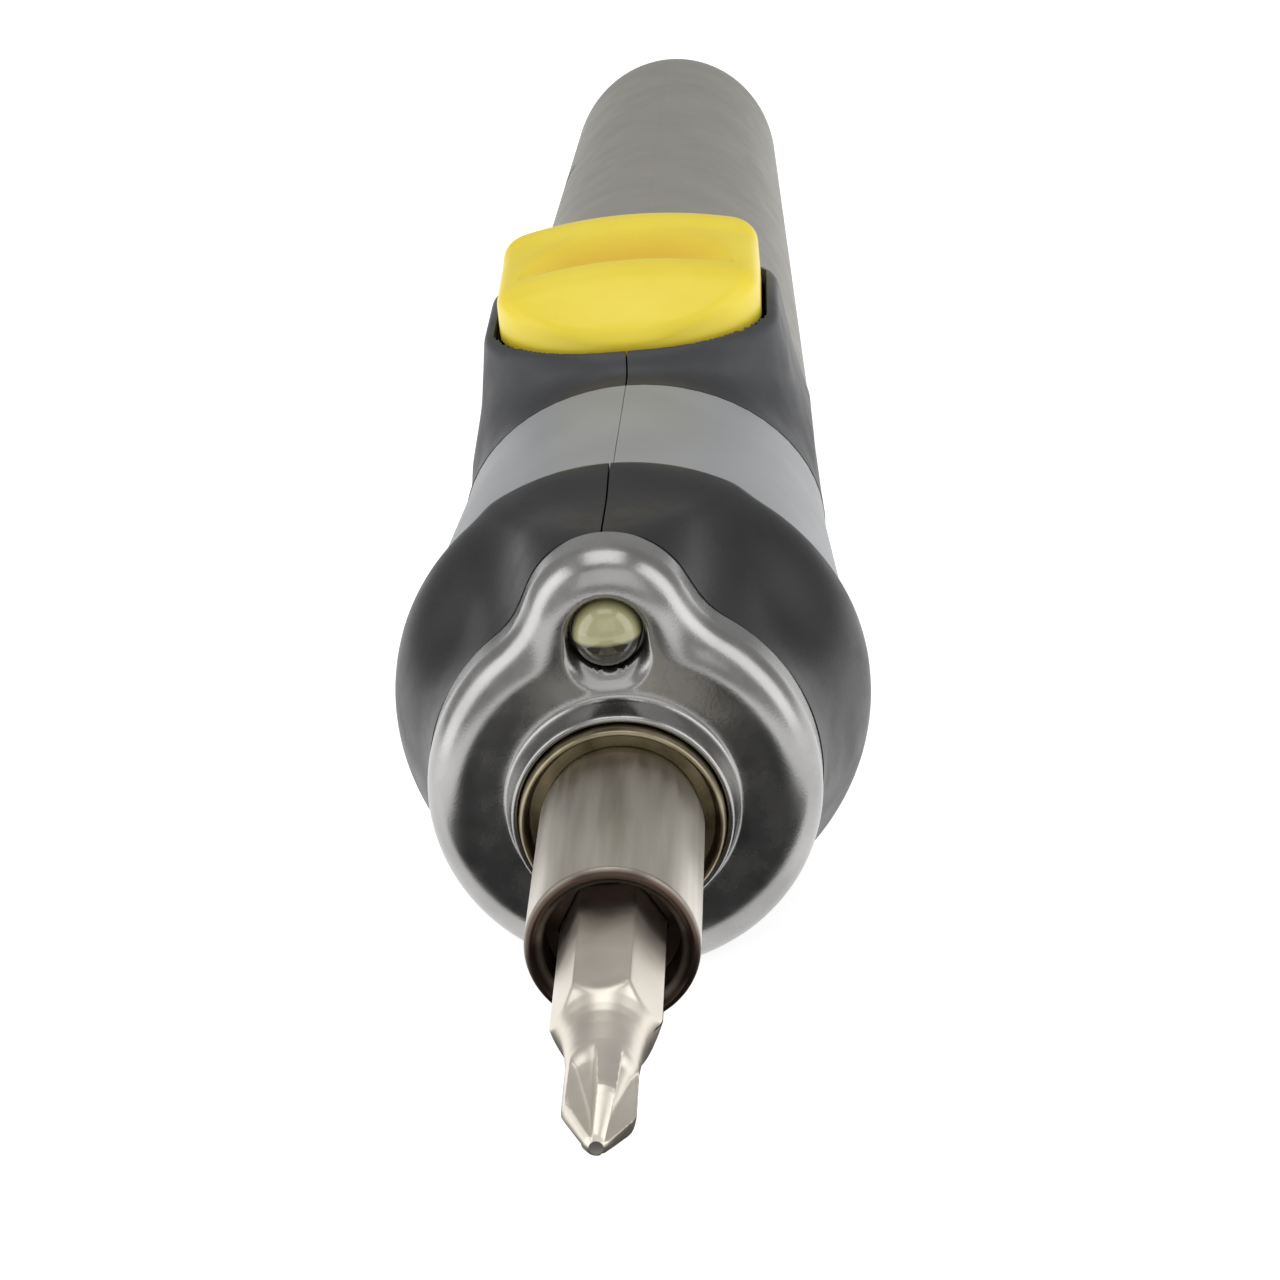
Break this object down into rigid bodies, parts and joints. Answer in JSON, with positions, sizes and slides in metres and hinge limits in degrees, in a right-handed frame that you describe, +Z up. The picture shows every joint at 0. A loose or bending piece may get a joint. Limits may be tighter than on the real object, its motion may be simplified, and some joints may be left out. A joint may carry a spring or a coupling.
{
  "type": "electric screwdriver",
  "caption": "Slim cordless inline screwdriver: hex bit holder with cross-tip bit, chrome nose with work light, rubber collar and grip, and a rocker button over a planetary gearmotor.",
  "frame": {"origin": "centre of the bit holder's mouth, on the spindle axis", "axes": "+Y along the spindle axis from the bit towards the tail, +Z up through the work light and the button, +X to the right seen from the bit"},
  "size_m": [0.0366, 0.2478, 0.0388],
  "materials": {
    "bit_steel": "satin nickel, worn bright on the edges",
    "holder_nickel": "warm brushed nickel",
    "cap_chrome": "polished chrome with slight orange peel",
    "bush_bronze": "dark sintered bronze with a bright crest",
    "lens": "clear olive-yellow lens",
    "grey_plastic": "cool grey, fine moulded grain",
    "collar_rubber": "black, fine textured",
    "grip_rubber": "dark rubber, satin sheen at grazing angles",
    "button_yellow": "yellow, satin",
    "steel": "bright steel",
    "gear_steel": "oiled gear steel",
    "casing": "grey casing",
    "dark_steel": "blackened steel",
    "magnet": "ferrite",
    "copper": "copper and lamination",
    "brush_carbon": "carbon",
    "board_green": "solder mask",
    "chip_black": "moulded packages",
    "black_plastic": "black engineering plastic",
    "cell_wrap": "shrink wrap",
    "white_plastic": "natural nylon"
  },
  "bodies": {
    "housing": {"thrust_washer": "steel", "nose_cap": "cap_chrome", "front_bushing": "bush_bronze", "rear_bushing": "bush_bronze", "work_light_led": "lens", "led_board": "board_green", "left_housing": "grey_plastic", "right_housing": "grey_plastic", "left_front_collar": "collar_rubber", "right_front_collar": "collar_rubber", "left_grip": "grip_rubber", "right_grip": "grip_rubber", "gearbox_cover": "casing", "ring_gear": "casing", "motor_plate": "casing", "motor_can": "steel", "motor_magnets": "magnet", "motor_brushes": "brush_carbon", "motor_end_cap": "black_plastic", "motor_terminals": "steel", "motor_screws": "dark_steel", "rocker_pin": "steel", "switch_body": "black_plastic", "control_board": "board_green", "board_parts": "chip_black", "battery_cell": "cell_wrap", "battery_tabs": "steel", "charge_jack": "black_plastic", "charge_board": "board_green", "housing_screws": "dark_steel"},
    "bit": {"screwdriver_bit": "bit_steel"},
    "spindle": {"bit_holder": "holder_nickel", "socket_magnet": "dark_steel", "spindle_clip": "dark_steel", "output_carrier": "gear_steel", "output_planet_pins": "steel"},
    "input_stage": {"input_carrier": "gear_steel", "output_sun": "gear_steel", "input_planet_pins": "steel"},
    "rotor": {"motor_pinion": "gear_steel", "motor_shaft": "steel", "armature": "copper", "commutator": "copper"},
    "button": {"rocker_button": "button_yellow"},
    "slider": {"switch_slider": "white_plastic"},
    "output_planet_1": {"output_planet_1": "gear_steel"},
    "input_planet_1": {"input_planet_1": "gear_steel"},
    "output_planet_2": {"output_planet_2": "gear_steel"},
    "input_planet_2": {"input_planet_2": "gear_steel"},
    "output_planet_3": {"output_planet_3": "gear_steel"},
    "input_planet_3": {"input_planet_3": "gear_steel"}
  },
  "joints": [
    {"name": "spindle_spin", "type": "hinge", "parent": "housing", "child": "spindle", "pos_m": [0, 0.02265, 0], "axis": [0, 1, 0], "continuous": true},
    {"name": "bit_pull", "type": "slide", "parent": "spindle", "child": "bit", "axis": [0, -1, 0], "range_m": [0, 0.04]},
    {"name": "input_stage_spin", "type": "hinge", "parent": "housing", "child": "input_stage", "pos_m": [0, 0.05615, 0], "axis": [0, 1, 0], "continuous": true},
    {"name": "rotor_spin", "type": "hinge", "parent": "housing", "child": "rotor", "pos_m": [0, 0.07865, 0], "axis": [0, 1, 0], "continuous": true},
    {"name": "output_planet_1_spin", "type": "hinge", "parent": "spindle", "child": "output_planet_1", "pos_m": [-0.00675, 0.05165, 0], "axis": [0, 1, 0], "continuous": true},
    {"name": "input_planet_1_spin", "type": "hinge", "parent": "input_stage", "child": "input_planet_1", "pos_m": [-0.00675, 0.06025, 0], "axis": [0, 1, 0], "continuous": true},
    {"name": "output_planet_2_spin", "type": "hinge", "parent": "spindle", "child": "output_planet_2", "pos_m": [0.00337, 0.05165, 0.00585], "axis": [0, 1, 0], "continuous": true},
    {"name": "input_planet_2_spin", "type": "hinge", "parent": "input_stage", "child": "input_planet_2", "pos_m": [0.00337, 0.06025, 0.00585], "axis": [0, 1, 0], "continuous": true},
    {"name": "output_planet_3_spin", "type": "hinge", "parent": "spindle", "child": "output_planet_3", "pos_m": [0.00337, 0.05165, -0.00585], "axis": [0, 1, 0], "continuous": true},
    {"name": "input_planet_3_spin", "type": "hinge", "parent": "input_stage", "child": "input_planet_3", "pos_m": [0.00337, 0.06025, -0.00585], "axis": [0, 1, 0], "continuous": true},
    {"name": "button_rock", "type": "hinge", "parent": "housing", "child": "button", "pos_m": [0, 0.08945, 0.0166], "axis": [1, 0, 0], "range_deg": [-6, 6], "stiffness_Nm_per_rad": 0.3},
    {"name": "switch_slide", "type": "slide", "parent": "housing", "child": "slider", "axis": [0, 1, 0], "range_m": [-0.0006, 0.0006]}
  ],
  "couplings": [
    {"joint": "input_stage_spin", "follows": "rotor_spin", "ratio": 0.16667},
    {"joint": "spindle_spin", "follows": "rotor_spin", "ratio": 0.027778},
    {"joint": "output_planet_1_spin", "follows": "rotor_spin", "ratio": -0.069444},
    {"joint": "input_planet_1_spin", "follows": "rotor_spin", "ratio": -0.41667},
    {"joint": "output_planet_2_spin", "follows": "rotor_spin", "ratio": -0.069444},
    {"joint": "input_planet_2_spin", "follows": "rotor_spin", "ratio": -0.41667},
    {"joint": "output_planet_3_spin", "follows": "rotor_spin", "ratio": -0.069444},
    {"joint": "input_planet_3_spin", "follows": "rotor_spin", "ratio": -0.41667},
    {"joint": "switch_slide", "follows": "button_rock", "m_per_rad": 0.0051}
  ]
}
